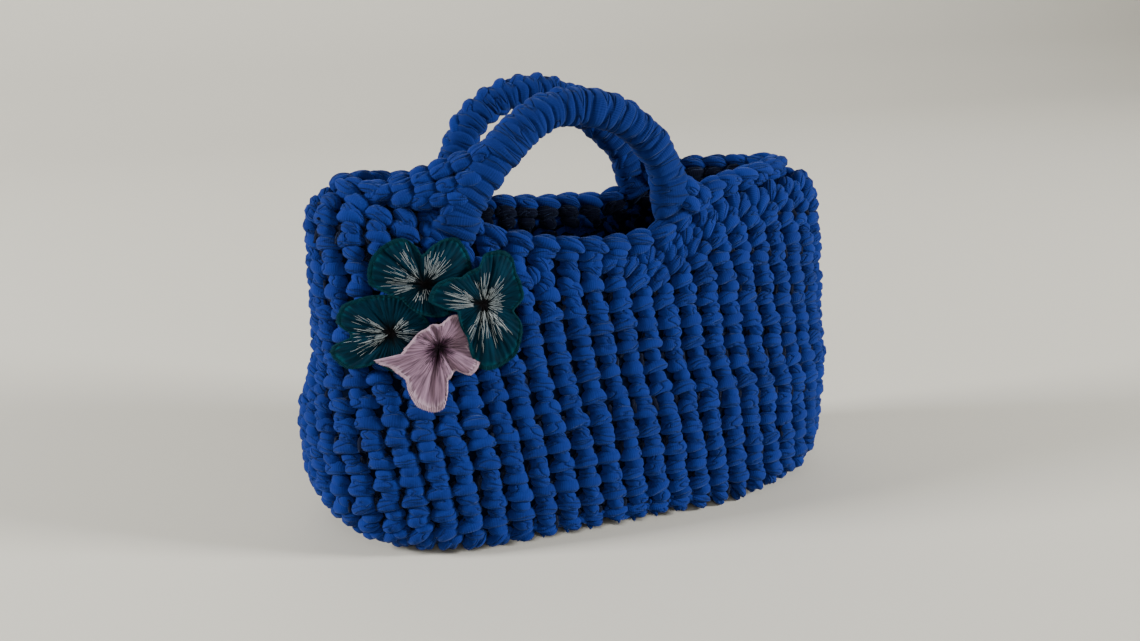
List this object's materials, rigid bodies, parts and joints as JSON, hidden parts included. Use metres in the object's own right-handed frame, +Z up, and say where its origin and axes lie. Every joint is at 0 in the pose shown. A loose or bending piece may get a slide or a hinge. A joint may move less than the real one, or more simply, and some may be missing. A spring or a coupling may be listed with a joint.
{
  "type": "mini bag",
  "caption": "Small crocheted handbag in thick blue yarn with a dipped rim, short wrapped arch handles at the front and back, and fabric flowers sewn to the front.",
  "frame": {"origin": "centre of the bounding box's bottom face, on the ground under the bag", "axes": "+X along the bag's length towards the end away from the flowers, +Y from the decorated front to the back, +Z up"},
  "size_m": [0.268, 0.1128, 0.2024],
  "materials": {
    "yarn": "matt blue jersey yarn, crocheted and wound",
    "teal_fabric": "dark teal fabric with a stitched edge",
    "mauve_fabric": "mauve ribbed fabric"
  },
  "bodies": {
    "root": {"bag_body": "yarn", "rim_round": "yarn", "handle_front": "yarn", "handle_back": "yarn", "flower_teal_lower": "teal_fabric", "flower_teal_upper": "teal_fabric", "flower_teal_right": "teal_fabric", "flower_mauve": "mauve_fabric"}
  },
  "joints": []
}
